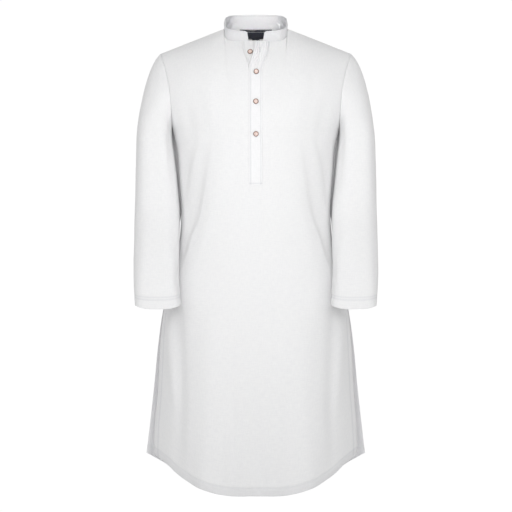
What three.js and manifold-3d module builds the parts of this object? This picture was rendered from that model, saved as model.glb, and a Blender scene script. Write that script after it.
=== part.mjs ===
// A long kurta with a band collar and a half placket, filled out as it is worn.
// Millimetres. +Z is up, +X is the wearer's left and the front faces -Y. The origin lies
// midway between the two shoulder points of the neck, where the wearer carries the garment.
import * as THREE from "three";
import { mergeVertices } from "three/addons/utils/BufferGeometryUtils.js";
import Module from "manifold-3d";

const wasm = await Module();
wasm.setup();

// Cloth
const CLOTH = 1.2; // wall of one panel
const BAND = 2; // wall of the collar, two layers and their stiffening
const TRIM = 1; // wall of the neck tape and the labels
const SEAM = 0.3; // gap between neighbouring pieces

// Heights
const CHEST_Z = -235; // underarm points
const SHOULDER_Z = -55; // shoulder point, top of the armhole
const NECK_Z = 4.8; // where the shoulder seam meets the collar
const PLACKET_Z = -369; // lower end of the placket
const WAIST_Z = -430; // where the body is narrowest
const SLIT_Z = -680; // top of the side slits
const HEM_Z = -1106; // lowest point of the hem
const HEM_RISE = 91; // from there up to the hem's corners at the slits
const HEM_START = -620; // where the rows of the grid begin to bend towards the hem's curve

// Half widths and depths
const CHEST_HALF = 200;
const SHOULDER_HALF = 228;
const NECK_HALF = 76.5;
const NECK_CROWN = 15.2; // the shoulder line, carried on level over the neck opening
const BODY_POWER = 2.2; // superellipse of the body's sections
const SHOULDER_FLARE = 2.2; // how late the armhole's edge moves out to the shoulder
const ARMHOLE_PINCH = 0.15; // how far the armhole is cut back into the panels
const PINCH_ANGLE = 35; // degrees of lift by which it is cut back fully
// The neckline of each panel: its depth, its superellipse seen from above, and how far the
// cloth climbs (or drops) at the middle of the neckline
const FRONT = { side: -1, depth: "front", neckDepth: 63, neckPower: 5, neckRise: -11.5 };
const BACK = { side: 1, depth: "back", neckDepth: 55, neckPower: 2.4, neckRise: 20 };
const NECK_LIFT = 0.865; // sine of the sweep at the middle of the neckline
const CLIMB = { reach: 105, low: 4, high: 12 }; // half width of the climb, and how it starts and ends

// Body sections, from the underarm to the hem
const BODY = [
  { z: -235, half: 200, front: 122, back: 112 },
  { z: -286, half: 189.5, front: 124, back: 108 },
  { z: -358, half: 184, front: 121, back: 102 },
  { z: -430, half: 178.8, front: 115, back: 98 },
  { z: -502, half: 183.2, front: 113, back: 102 },
  { z: -580, half: 197.5, front: 115, back: 112 },
  { z: -655, half: 219, front: 119, back: 122 },
  { z: -718, half: 230, front: 122, back: 127 },
  { z: -847, half: 244, front: 127, back: 132 },
  { z: -934, half: 254, front: 130, back: 135 },
  { z: -1017, half: 264, front: 133, back: 138 },
  { z: -1106, half: 273, front: 135, back: 140 },
];

// The front's edge at the slit draws in from the back's: share of the section's half width
const SLIT = [
  { z: -680, share: 1 },
  { z: -740, share: 0.985 },
  { z: -861, share: 0.957 },
  { z: -934, share: 0.944 },
  { z: -1017, share: 0.918 },
  { z: -1106, share: 0.893 },
];
const SLIT_FLARE = { out: 44, power: 3 }; // the back's slit edge stands this far back at the hem

// The hem's curve: across is the share of the way out to the slit, rise the share of HEM_RISE
const HEM = [
  { across: 0, rise: 0 },
  { across: 0.24, rise: 0.014 },
  { across: 0.39, rise: 0.08 },
  { across: 0.52, rise: 0.186 },
  { across: 0.6, rise: 0.272 },
  { across: 0.7, rise: 0.424 },
  { across: 0.79, rise: 0.578 },
  { across: 0.85, rise: 0.72 },
  { across: 0.93, rise: 0.875 },
  { across: 1, rise: 1 },
];

// The largest folds: a line from the top end to the bottom end, its half width at each end
// and its height, which is negative in a trough. Each is mirrored to the other side.
const FOLD_FADE = { top: 90, low: 60 }; // length of its soft ends
const EDGE_HOLD = 10; // how sharply the folds die away at the side seams
const FRONT_FOLDS = [
  { name: "outer chest drag", x: 141, z: -270, xLow: 174, zLow: -430, wide: 15, wideLow: 10, high: -6 },
  { name: "inner chest drag", x: 112, z: -290, xLow: 175, zLow: -560, wide: 22, wideLow: 12, high: -7 },
  { name: "belly roll", x: 86, z: -300, xLow: 150, zLow: -560, wide: 26, wideLow: 20, high: 4 },
  { name: "side flute trough", x: 176, z: -640, xLow: 180, zLow: -990, wide: 22, wideLow: 26, high: -9 },
  { name: "side flute", x: 100, z: -640, xLow: 112, zLow: -1110, wide: 42, wideLow: 52, high: 7 },
  { name: "middle trough", x: 4, z: -760, xLow: 8, zLow: -1130, wide: 24, wideLow: 40, high: -5 },
];
const BACK_FOLDS = [
  { name: "blade drag", x: 118, z: -250, xLow: 162, zLow: -520, wide: 24, wideLow: 16, high: -6 },
  { name: "small of the back", x: 40, z: -380, xLow: 64, zLow: -640, wide: 34, wideLow: 30, high: -5 },
  { name: "side flute trough", x: 158, z: -620, xLow: 176, zLow: -1010, wide: 26, wideLow: 30, high: -9 },
  { name: "side flute", x: 96, z: -640, xLow: 108, zLow: -1110, wide: 42, wideLow: 50, high: 8 },
  { name: "middle trough", x: 10, z: -700, xLow: 22, zLow: -1130, wide: 30, wideLow: 40, high: -5 },
];

// Placket and opening. The top button is undone, so both edges spread above the second.
const PLACKET_HALF = 15.5;
const OVERLAP_HALF = 16;
const UNDERLAP_HALF = 15.1;
const OVERLAP_DROP = 4; // the overlap ends this much lower than the opening
const OVERLAP_TOP = 0.975; // where it ends at the top, as a share of the sweep to the neckline
// how far the wearer's right edge, and the left one's middle and outer side, stand aside
const SPREAD = { right: 17, middle: 17, left: 20 };
const SPREAD_Z = { none: -112, full: -40 };
const FREE_EDGE_LIFT = 6;
const STEEP = 0.6; // radians by which the placket leans back at the neck

// Collar: the upper edge, seen from above, and its tilt from front to back
const COLLAR_TOP = { half: 75, front: 57, frontPower: 3, back: 50, backPower: 5, z: 21, tilt: 0.458 };
const COLLAR_BLEND = 0.7; // how much of that plan the upper edge takes; the rest is the neckline's own
const COLLAR_END = { lean: 4, reach: 2.2 }; // how much further apart the ends are at the top
const COLLAR_BOW = 0.5;
const COLLAR_GAP = 1; // its foot above the neckline
const COLLAR_INSET = 0.7; // and its sides inside it, where the neckline is steep

// Sleeve sections, wearer's left, from the upper arm to the cuff
const SLEEVE = [
  { z: -260, x: 242.5, half: 43.5, y: 0, deep: 76, tuck: 14 },
  { z: -310, x: 240, half: 47.5, y: 3, deep: 74, tuck: 16 },
  { z: -358, x: 238.2, half: 50.8, y: 4, deep: 72, tuck: 15 },
  { z: -430, x: 235.8, half: 54.7, y: -2, deep: 67, tuck: 12 },
  { z: -502, x: 235.7, half: 54.8, y: -35, deep: 60, tuck: -6 },
  { z: -580, x: 235.5, half: 54.4, y: -74, deep: 50, tuck: -2 },
  { z: -656, x: 231, half: 55, y: -103, deep: 44, tuck: 0 },
];
const SLEEVE_POWER = { front: 2.8, back: 2.2 };
const TUCK = { turn: 320, wide: 38 }; // the tuck draws the sleeve's inner back in towards the body
const CUFF = { z: -656, from: -580, dip: 8 }; // the cuff's front hangs this much lower
const SLEEVE_GAP = 0.6;
// How the sleeve leaves the armhole: degrees below level, and the pull of each end of its curve
const CAP = { low: 90, high: 39, power: 0.6, leave: 0.667, arrive: 0.7, lean: 0.04 };
// Its first ring turns from its own direction at the underarm to the panels' at the shoulder
const RING = { from: 0.3, to: 0.7, low: 0.8, high: 0.37, up: 0.93, round: 80 };

// Buttons: where each sits on the front, and the layer that it is sewn through
const BUTTON = { radius: 6.5, thick: 2.6, rim: 1.5, dish: 0.7, hole: 0.8, holeRing: 1.7 };
// its turned profile, as shares of the radius, the thickness and the rim's width
const BUTTON_EDGE = { foot: 0.72, belly: 0.45, crown: 0.35, slope: 1.6 };
const BUTTON_LIFT = 0.5;
const BUTTONS = [
  { name: "button_1", x: -13.2, z: -57, onOverlap: false },
  { name: "button_2", x: 1.2, z: -105, onOverlap: true },
  { name: "button_3", x: 0.2, z: -176, onOverlap: true },
  { name: "button_4", x: 0.4, z: -253, onOverlap: true },
];

// Neck trim: half widths, and the distances down from the back neck seam
const NECK_TRIM = [
  { name: "neck_tape", half: 39, top: 1.2, low: 5.2, columns: 8 },
  { name: "neck_label", half: 23, top: 5.5, low: 21, columns: 5 },
  { name: "size_tab", half: 9, top: 21.4, low: 31, columns: 2 },
];
const TRIM_GAP = 0.8;
const TRIM_ROWS = 2;

// Mesh counts
const UPPER_ROWS = 9;
const ROWS = { placket: 4, front: 6, frontHem: 7, back: 2, backSkirt: 3, backHem: 5 };
const SLEEVE_ROWS = { head: 5, arm: 9 };
const COLUMNS = { neck: 5, frontSide: 8, backSide: 7 };
const COLLAR_ROWS = 3;
const NECK_CROWD = 2;
const UPPER_CROWD = 1.5; // upper rows crowd towards the underarm

const COTTON = { color: 0xf1f3f4, roughness: 0.9, metalness: 0 };
const COTTON_DOUBLE = { color: 0xf5f6f7, roughness: 0.88, metalness: 0 };
const DARK_TAPE = { color: 0x2a2c36, roughness: 0.8, metalness: 0 };
const BUTTON_SHELL = { color: 0xc9a695, roughness: 0.35, metalness: 0 };

const { PI, abs, cos, hypot, max, min, pow, sign, sin } = Math;
const radians = THREE.MathUtils.degToRad;
const clamp = THREE.MathUtils.clamp;
const mix = THREE.MathUtils.lerp;
const ease = (t) => THREE.MathUtils.smoothstep(t, 0, 1);
const steps = (from, to, count) => Array.from({ length: count + 1 }, (_, i) => mix(from, to, i / count));

// A curve through two values with the given slopes, for t from 0 to 1
function hermite(a, b, slopeA, slopeB, t) {
  const s = 1 - t;
  return s * s * (1 + 2 * t) * a + t * t * (3 - 2 * t) * b + s * s * t * slopeA - s * t * t * slopeB;
}

// A column of a table, read smoothly at a value of its key column
function read(table, key, value, column) {
  const falling = table[1][key] < table[0][key];
  let i = 0;
  while (i < table.length - 2 && (falling ? value < table[i + 1][key] : value > table[i + 1][key])) i++;
  const slope = (k) => {
    const before = table[max(k - 1, 0)];
    const after = table[min(k + 1, table.length - 1)];
    return (after[column] - before[column]) / (after[key] - before[key]);
  };
  const span = table[i + 1][key] - table[i][key];
  const t = clamp((value - table[i][key]) / span, 0, 1);
  return hermite(table[i][column], table[i + 1][column], slope(i) * span, slope(i + 1) * span, t);
}

// The second half of a superellipse: how deep it is at a share of its half width
const oval = (share, power) => pow(max(1 - pow(min(abs(share), 1), power), 0), 1 / power);

// The angle at which a falling function crosses zero, between level and upright
function crossing(fn) {
  let low = 0;
  let high = PI / 2;
  for (let i = 0; i < 40; i++) {
    const middle = (low + high) / 2;
    if (fn(middle) > 0) low = middle;
    else high = middle;
  }
  return low;
}

// Columns: up to 1 each way lie on the placket, from there to 2 they reach the side seam
const NECK_COLUMN = 1 + (NECK_HALF - PLACKET_HALF) / (SHOULDER_HALF - PLACKET_HALF);
function columnX(column, half) {
  const beyond = max(abs(column) - 1, 0) * (half - PLACKET_HALF);
  return clamp(column, -1, 1) * PLACKET_HALF + sign(column) * beyond;
}

// How far the undone opening moves a column sideways, at a lift angle above the chest
function spreadX(column, layer, lift) {
  if (!layer) return 0;
  const z = CHEST_Z * (1 - sin(lift));
  const opened = ease(clamp((z - SPREAD_Z.none) / (SPREAD_Z.full - SPREAD_Z.none), 0, 1));
  const fade = 1 - ease(clamp((abs(column) - 1) / (NECK_COLUMN - 1), 0, 1));
  if (layer < 0) return -SPREAD.right * opened * fade;
  return mix(SPREAD.middle, SPREAD.left, clamp(column, -1, 1)) * opened * fade;
}

// Above the chest a panel is swept by its lift angle, from level at the chest to upright
// at the shoulder seam. The armhole's edge moves out and back as it rises.
const upperHalf = (lift) => mix(CHEST_HALF, SHOULDER_HALF, pow(sin(lift), SHOULDER_FLARE));
function upperDepth(face, x, lift) {
  const pinch = 1 - ARMHOLE_PINCH * sin(min(lift / radians(PINCH_ANGLE), 1) * (PI / 2));
  return BODY[0][face.depth] * oval((x / upperHalf(lift)) * pinch, BODY_POWER) * cos(lift);
}
const neckDepth = (face, x) => face.neckDepth * oval(x / NECK_HALF, face.neckPower);

// The height that the sweep ends at: the shoulder seam, crowned over the neck opening
function ridgeZ(x) {
  const run = abs(x);
  if (run < NECK_HALF) return NECK_Z + NECK_CROWN * (1 - (run / NECK_HALF) ** 2);
  return NECK_Z + ((SHOULDER_Z - NECK_Z) * (run - NECK_HALF)) / (SHOULDER_HALF - NECK_HALF);
}
const climbShare = (height) => pow(height, CLIMB.low) * (1 - pow(height, CLIMB.high));
function upperPoint(face, x, lift) {
  const climb = face.neckRise * max(1 - abs(x / CLIMB.reach) ** 3, 0) ** 2;
  const swept = CHEST_Z + (ridgeZ(x) - CHEST_Z) * sin(lift);
  const z = swept + (climb * climbShare(sin(lift))) / climbShare(NECK_LIFT);
  return new THREE.Vector3(x, face.side * (upperDepth(face, x, lift) + SEAM / 2), z);
}

const neckZ = (face, x) =>
  upperPoint(face, x, crossing((lift) => upperDepth(face, x, lift) - neckDepth(face, x))).z;

// Where a column's lift ends: at the shoulder seam, or earlier at the neckline
function topLift(face, column, layer) {
  if (abs(column) >= NECK_COLUMN - 1e-6) return PI / 2;
  return crossing((lift) => {
    const x = columnX(column, upperHalf(lift)) + spreadX(column, layer, lift);
    return upperDepth(face, x, lift) - neckDepth(face, x);
  });
}

// Soft ridges and troughs, as a height above the plain form
function foldHeight(folds, x, z) {
  let height = 0;
  for (const fold of folds)
    for (const side of [-1, 1]) {
      const along = clamp((z - fold.z) / (fold.zLow - fold.z), 0, 1);
      const off = (x - side * mix(fold.x, fold.xLow, along)) / mix(fold.wide, fold.wideLow, along);
      const fadeIn = ease(clamp((fold.z - z) / FOLD_FADE.top, 0, 1));
      const fadeOut = ease(clamp((z - fold.zLow) / FOLD_FADE.low, 0, 1));
      height += fold.high * Math.exp(-off * off) * fadeIn * fadeOut;
    }
  return height;
}

// Below the chest a panel follows the body's sections. reach draws its edges in at the slit.
function lowerPoint(face, folds, column, z) {
  const half = read(BODY, "z", z, "half");
  const depth = read(BODY, "z", z, face.depth);
  const reach = face === FRONT && z < SLIT_Z ? read(SLIT, "z", z, "share") : 1;
  const x = columnX(column, half * reach);
  const share = abs(x) / half;
  const flare = face === BACK ? SLIT_FLARE.out * ease(clamp((SLIT_Z - z) / (SLIT_Z - HEM_Z), 0, 1)) : 0;
  const plainY = depth * oval(share, BODY_POWER);
  const y = pow(plainY ** SLIT_FLARE.power + flare ** SLIT_FLARE.power, 1 / SLIT_FLARE.power);
  const out = foldHeight(folds, x, z) * (1 - pow(share / reach, EDGE_HOLD));
  const tiltX = (sign(x) * pow(share, BODY_POWER - 1)) / half;
  const tiltY = pow(y / depth, BODY_POWER - 1) / depth;
  const tilt = hypot(tiltX, tiltY);
  return new THREE.Vector3(
    x + (out * tiltX) / tilt,
    face.side * (y + (out * tiltY) / tilt + SEAM / 2),
    z,
  );
}

// The hem's curve lifts the rows more and more below the slit's top
function rowZ(z, column) {
  const across = abs(columnX(column, CHEST_HALF)) / CHEST_HALF;
  const share = ease(clamp((HEM_START - z) / (HEM_START - HEM_Z), 0, 1));
  return z + HEM_RISE * read(HEM, "across", across, "rise") * share;
}

// Thickens a grid of points, whose rows run upwards, into a closed wall. Columns run so
// that across x up faces outwards. keep drops cells, and turn corrects a point's normal.
function clothWall(rows, { wall = CLOTH, ring = false, keep = () => true, turn = (n) => n } = {}) {
  const wide = rows[0].length;
  const cells = ring ? wide : wide - 1;
  const last = rows.length - 1;
  const pick = (i, j) => rows[clamp(i, 0, last)][ring ? (j + wide) % wide : clamp(j, 0, wide - 1)];
  const outer = [];
  const inner = [];
  rows.forEach((row, i) =>
    row.forEach((point, j) => {
      const across = pick(i, j + 1).clone().sub(pick(i, j - 1));
      const up = pick(i + 1, j).clone().sub(pick(i - 1, j));
      const normal = turn(across.cross(up).normalize(), i, j);
      outer.push(point);
      inner.push(point.clone().addScaledVector(normal, -wall));
    }),
  );

  const triangles = [];
  const edges = new Map();
  const behind = outer.length;
  for (let i = 0; i < last; i++)
    for (let j = 0; j < cells; j++) {
      if (!keep(i, j)) continue;
      const next = (j + 1) % wide;
      const corners = [i * wide + j, i * wide + next, (i + 1) * wide + next, (i + 1) * wide + j];
      // the cell is cut along its shorter diagonal, from a to c
      const length = (from, to) => outer[corners[from]].distanceTo(outer[corners[to]]);
      const flip = length(0, 2) > length(1, 3);
      const [a, b, c, d] = flip ? [...corners.slice(1), corners[0]] : corners;
      triangles.push(a, b, c, a, c, d);
      triangles.push(a + behind, c + behind, b + behind, a + behind, d + behind, c + behind);
      corners.forEach((from, k) => {
        const to = corners[(k + 1) % 4];
        edges.set(from + ">" + to, [from, to]);
      });
    }
  for (const [from, to] of edges.values()) {
    if (edges.has(to + ">" + from)) continue;
    triangles.push(to, from, from + behind, to, from + behind, to + behind);
  }

  const positions = [...outer, ...inner].flatMap((point) => point.toArray());
  const geometry = new THREE.BufferGeometry();
  geometry.setAttribute("position", new THREE.Float32BufferAttribute(positions, 3));
  geometry.setIndex(triangles);
  geometry.computeVertexNormals();
  return geometry;
}

const kurta = new THREE.Group();
kurta.name = "kurta";
function add(name, geometry, finish) {
  const mesh = new THREE.Mesh(geometry, new THREE.MeshStandardMaterial(finish));
  mesh.name = name;
  kurta.add(mesh);
  return mesh;
}

// Column stations from the placket's edge to the side seam, closer together at the neck's
// corner and at the side
function sideColumns(count) {
  const side = steps(Math.asin((NECK_COLUMN - 1) ** (BODY_POWER / 2)), PI / 2, count);
  return [
    ...steps(1, 0, COLUMNS.neck).map((t) => mix(NECK_COLUMN, 1, t ** NECK_CROWD)),
    ...side.slice(1).map((angle) => 1 + pow(sin(angle), 2 / BODY_POWER)),
  ];
}
const upperShare = (row) => pow(row / UPPER_ROWS, UPPER_CROWD);

// The rows of a panel from the hem to the chest
const frontHeights = [
  ...steps(HEM_Z, SLIT_Z, ROWS.frontHem),
  ...steps(SLIT_Z, PLACKET_Z, ROWS.front).slice(1),
  ...steps(PLACKET_Z, CHEST_Z, ROWS.placket).slice(1),
];
const backHeights = [
  ...steps(HEM_Z, SLIT_Z, ROWS.backHem),
  ...steps(SLIT_Z, WAIST_Z, ROWS.backSkirt).slice(1),
  ...steps(WAIST_Z, CHEST_Z, ROWS.back).slice(1),
];
const frontPlacketRow = ROWS.frontHem + ROWS.front;

// A panel's grid: the lower rows, then the upper ones up to the neckline and shoulder seam
function panelRows(face, folds, heights, columns) {
  const lower = heights.map((z) =>
    columns.map((column) => lowerPoint(face, folds, column, rowZ(z, column))),
  );
  const upper = steps(1, UPPER_ROWS, UPPER_ROWS - 1).map((row) =>
    columns.map((column) => {
      const layer = face === FRONT ? sign(column) : 0;
      const lift = topLift(face, column, layer) * upperShare(row);
      return upperPoint(face, columnX(column, upperHalf(lift)) + spreadX(column, layer, lift), lift);
    }),
  );
  return [...lower, ...upper];
}

// At the side and shoulder seams the wall's edge stays square to the seam
const squareSeams = (rows) => (normal, i, j) => {
  const top = i === rows.length - 1 && abs(rows[i][j].x) >= NECK_HALF - 1;
  const side = j === 0 || j === rows[0].length - 1;
  const seam = top || (side && rows[i][j].z <= CHEST_Z + 1 && rows[i][j].z > SLIT_Z);
  return seam ? normal.setY(0).normalize() : normal;
};

const frontSide = sideColumns(COLUMNS.frontSide);
const frontColumns = [...frontSide.map((column) => -column).reverse(), 0, ...frontSide];
const frontMiddle = frontSide.length;
const frontRows = panelRows(FRONT, FRONT_FOLDS, frontHeights, frontColumns);
add(
  "front",
  clothWall(frontRows, {
    turn: squareSeams(frontRows),
    keep: (i, j) => i < frontPlacketRow || j < frontMiddle - 1 || j > frontMiddle,
  }),
  COTTON,
);

const backSide = sideColumns(COLUMNS.backSide);
const backColumns = [...backSide, 0, ...backSide.map((column) => -column)].sort((a, b) => b - a);
const backRows = panelRows(BACK, BACK_FOLDS, backHeights, backColumns);
add("back", clothWall(backRows, { turn: squareSeams(backRows) }), COTTON);

// Sleeve: columns leave the armhole's edge, turn down over the cap and meet the first section
function sleeveRows(side) {
  const edge = (rows, lower, column) => rows.slice(lower).map((row) => row[column]);
  const frontEdge = edge(frontRows, frontHeights.length - 1, side > 0 ? frontColumns.length - 1 : 0);
  const backEdge = edge(backRows, backHeights.length - 1, side > 0 ? 0 : backColumns.length - 1);
  // from the underarm up the front, over the shoulder and down the back
  const loop = [...frontEdge, ...backEdge.slice(1, -1).reverse()];
  loop[0] = frontEdge[0].clone().setY(0);
  loop[UPPER_ROWS] = frontEdge[UPPER_ROWS].clone().setY(0);

  const run = [0];
  loop.forEach((point, m) => run.push(run[m] + point.distanceTo(loop[(m + 1) % loop.length])));
  const turns = loop.map((_, m) =>
    m <= UPPER_ROWS
      ? (PI * run[m]) / run[UPPER_ROWS]
      : PI + (PI * (run[m] - run[UPPER_ROWS])) / (run[loop.length] - run[UPPER_ROWS]),
  );
  const section = (z, turn) => {
    const get = (column) => read(SLEEVE, "z", z, column);
    const power = sin(turn) > 0 ? SLEEVE_POWER.front : SLEEVE_POWER.back;
    const round = (value) => sign(value) * pow(abs(value), 2 / power);
    const fromTuck = min(abs(turn / radians(1) - TUCK.turn) / TUCK.wide, 1);
    const tuck = get("tuck") * cos((fromTuck * PI) / 2) ** 2;
    const low = ease(clamp((CUFF.from - z) / (CUFF.from - CUFF.z), 0, 1));
    return new THREE.Vector3(
      side * (get("x") - get("half") * round(cos(turn)) - tuck),
      get("y") - get("deep") * round(sin(turn)),
      z - CUFF.dip * low * max(sin(turn), 0) ** 2,
    );
  };

  const head = steps(0, 1, SLEEVE_ROWS.head).map((t) =>
    loop.map((point, m) => {
      const start = point.clone().add(new THREE.Vector3(side * SLEEVE_GAP, 0, 0));
      const end = section(SLEEVE[0].z, turns[m]);
      const length = start.distanceTo(end);
      const rise = clamp((point.z - CHEST_Z) / (SHOULDER_Z - CHEST_Z), 0, 1);
      const slope = radians(mix(CAP.low, CAP.high, pow(rise, CAP.power)));
      const leave = new THREE.Vector3(side * cos(slope), 0, -sin(slope)).multiplyScalar(length * CAP.leave);
      const arrive = new THREE.Vector3(side * CAP.lean, 0, -1).multiplyScalar(length * CAP.arrive);
      const axis = (k) => hermite(start[k], end[k], leave[k], arrive[k], t);
      return new THREE.Vector3(axis("x"), axis("y"), axis("z"));
    }),
  );
  const arm = steps(SLEEVE[0].z, SLEEVE.at(-1).z, SLEEVE_ROWS.arm).slice(1);
  return [...head, ...arm.map((z) => turns.map((turn) => section(z, turn)))].reverse();
}

// The sleeve's first ring takes the panels' own thickness direction, except at the underarm
function sleeve(side) {
  let rows = sleeveRows(side);
  // seen from above, the ring from the underarm to the front runs clockwise on the right arm
  if (side < 0) rows = rows.map((row) => [row[0], ...row.slice(1).reverse()]);
  const top = rows.length - 1;
  return clothWall(rows, {
    ring: true,
    turn: (normal, i, j) => {
      if (i < top) return normal;
      const point = rows[i][j];
      const rise = clamp((point.z - CHEST_Z) / (SHOULDER_Z - CHEST_Z), 0, 1);
      const outwards = side * mix(RING.low, RING.high, rise);
      const panel = new THREE.Vector3(outwards, point.y / RING.round, RING.up * rise).normalize();
      const share = ease(clamp((rise - RING.from) / (RING.to - RING.from), 0, 1));
      return normal.lerp(panel, share).normalize();
    },
  });
}
add("sleeve_left", sleeve(1), COTTON);
add("sleeve_right", sleeve(-1), COTTON);

// Collar: a band from the left end round the back to the right end, on the neckline
function collarRows() {
  const half = [0, 0.5, ...frontSide.slice(0, COLUMNS.neck + 1)];
  const front = (layer) =>
    half.map((column) => {
      const at = layer * column;
      const lift = topLift(FRONT, at, layer);
      return upperPoint(FRONT, columnX(at, upperHalf(lift)) + spreadX(at, layer, lift), lift);
    });
  const back = backRows.at(-1).filter((point) => abs(point.x) < NECK_HALF - 0.1);
  const base = [...front(1), ...back, ...front(-1).reverse()];
  const end = base[0].x;
  return steps(0, 1, COLLAR_ROWS).map((up) =>
    base.map((point) => {
      const inFront = point.y < 0;
      const depth = inFront ? COLLAR_TOP.front / FRONT.neckDepth : COLLAR_TOP.back / BACK.neckDepth;
      const fromEnd = (abs(point.x) / end - 1) / (COLLAR_END.reach - 1);
      const lean = COLLAR_END.lean * ease(clamp(1 - fromEnd, 0, 1));
      const x = (point.x * COLLAR_TOP.half) / NECK_HALF;
      const plan = inFront
        ? COLLAR_TOP.front * oval(x / COLLAR_TOP.half, COLLAR_TOP.frontPower)
        : COLLAR_TOP.back * oval(x / COLLAR_TOP.half, COLLAR_TOP.backPower);
      const y = sign(point.y) * mix(abs(point.y) * depth, plan, COLLAR_BLEND);
      const top = new THREE.Vector3(x + sign(x) * lean, y, COLLAR_TOP.z + COLLAR_TOP.tilt * y);
      const bow = 1 + (COLLAR_BOW * sin(PI * up)) / NECK_HALF;
      const inset = 1 - COLLAR_INSET / NECK_HALF;
      const foot = new THREE.Vector3(point.x * inset, point.y, point.z + COLLAR_GAP);
      return foot.lerp(top, up).multiply(new THREE.Vector3(bow, bow, 1));
    }),
  );
}
add("collar", clothWall(collarRows(), { wall: BAND }), COTTON_DOUBLE);

// A placket strip: the front's own points over the placket, moved out by offset
function stripRows(half, layer, offset, lowZ, topShare) {
  const columns = [-half / PLACKET_HALF, 0, half / PLACKET_HALF];
  const heights = [lowZ, ...frontHeights.slice(frontPlacketRow + 1)];
  const lower = heights.map((z) =>
    columns.map((column) => lowerPoint(FRONT, FRONT_FOLDS, clamp(column, -1, 1), z)),
  );
  const upper = steps(1, UPPER_ROWS, UPPER_ROWS - 1).map((row) =>
    columns.map((column) => {
      const place = clamp(column, -1, 1);
      const share = row === UPPER_ROWS ? topShare : upperShare(row);
      const lift = topLift(FRONT, place, layer) * share;
      const x = columnX(place, upperHalf(lift)) + spreadX(column, layer, lift);
      const point = upperPoint(FRONT, x, lift);
      const opened = spreadX(0, layer, lift) / SPREAD.middle;
      const free = layer > 0 ? (FREE_EDGE_LIFT * opened * (1 - column)) / 2 : 0;
      return point.setY(point.y - free);
    }),
  );
  return [...lower, ...upper].map((row) =>
    row.map((point, j) => {
      const past = (abs(columns[j]) - 1) * PLACKET_HALF;
      const rise = max(1 - point.z / CHEST_Z, 0);
      const out = offset / cos(rise * STEEP);
      return new THREE.Vector3(point.x + sign(columns[j]) * past, point.y - out, point.z);
    }),
  );
}
const overlapOffset = SEAM + CLOTH;
add(
  "placket_underlap",
  clothWall(stripRows(UNDERLAP_HALF, -1, 0, PLACKET_Z + SEAM, 1)),
  COTTON_DOUBLE,
);
add(
  "placket_overlap",
  clothWall(stripRows(OVERLAP_HALF, 1, overlapOffset, PLACKET_Z - OVERLAP_DROP, OVERLAP_TOP)),
  COTTON_DOUBLE,
);

// A point of the plain front and the direction out of it, at a place seen face on
function surfaceAt(x, z) {
  const place = (atX, atZ) => {
    const short = (lift) => atZ - upperPoint(FRONT, atX, lift).z;
    if (atZ > CHEST_Z) return upperPoint(FRONT, atX, crossing(short));
    const half = read(BODY, "z", atZ, "half");
    const depth = read(BODY, "z", atZ, FRONT.depth);
    return new THREE.Vector3(atX, -depth * oval(atX / half, BODY_POWER), atZ);
  };
  const point = place(x, z);
  const across = place(x + 1, z).sub(place(x - 1, z));
  const up = place(x, z + 1).sub(place(x, z - 1));
  return { point, normal: across.cross(up).normalize() };
}

// Button: a turned disc with a raised rim and a dished middle, drilled with four holes
function buttonGeometry() {
  const { radius, thick, rim, dish, hole, holeRing } = BUTTON;
  const { foot, belly, crown, slope } = BUTTON_EDGE;
  const profile = [
    [0, 0],
    [radius * foot, 0],
    [radius, thick * belly],
    [radius - rim * crown, thick],
    [radius - rim, thick],
    [radius - rim * slope, thick - dish],
    [0, thick - dish],
  ].map(([x, y]) => new THREE.Vector2(x, y));
  const solid = (geometry) => {
    geometry.deleteAttribute("normal");
    geometry.deleteAttribute("uv");
    const merged = mergeVertices(geometry, 1e-4);
    return new wasm.Manifold(
      new wasm.Mesh({
        numProp: 3,
        vertProperties: merged.attributes.position.array,
        triVerts: new Uint32Array(merged.index.array),
      }),
    );
  };
  let disc = solid(new THREE.LatheGeometry(profile, 24).rotateX(PI / 2));
  for (const turn of steps(PI / 4, (7 * PI) / 4, 3)) {
    const drill = new THREE.CylinderGeometry(hole, hole, 3 * thick, 8).rotateX(PI / 2);
    disc = disc.subtract(solid(drill.translate(holeRing * cos(turn), holeRing * sin(turn), 0)));
  }
  const { vertProperties, triVerts } = disc.getMesh();
  const geometry = new THREE.BufferGeometry();
  geometry.setAttribute("position", new THREE.BufferAttribute(vertProperties, 3));
  geometry.setIndex(new THREE.BufferAttribute(triVerts, 1));
  geometry.computeVertexNormals();
  return geometry;
}
const disc = buttonGeometry();
for (const { name, x, z, onOverlap } of BUTTONS) {
  const { point, normal } = surfaceAt(x, z);
  const button = add(name, disc, BUTTON_SHELL);
  button.position.copy(point).addScaledVector(normal, BUTTON_LIFT + (onOverlap ? overlapOffset : 0));
  button.quaternion.setFromUnitVectors(new THREE.Vector3(0, 0, 1), normal);
}

// Where the back's own facets lie, at a place seen face on
const backCaster = new THREE.Raycaster();
const backMesh = kurta.getObjectByName("back");
function backFacet(x, z) {
  backCaster.set(new THREE.Vector3(x, 0, z), new THREE.Vector3(0, 1, 0));
  return backCaster.intersectObject(backMesh)[0];
}

// Neck tape, label and size tab: flat pieces on the inside of the back, below the neck seam
for (const { name, half, top, low, columns } of NECK_TRIM) {
  const heights = steps(neckZ(BACK, 0) - low, neckZ(BACK, 0) - top, TRIM_ROWS);
  const rows = heights.map((z) =>
    steps(half, -half, columns).map((x) => new THREE.Vector3(x, backFacet(x, z).point.y - TRIM_GAP, z)),
  );
  add(name, clothWall(rows, { wall: TRIM }), DARK_TAPE);
}

export default kurta;
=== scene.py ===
import math

import bmesh
import bpy
from mathutils import Matrix, Vector, noise


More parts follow.
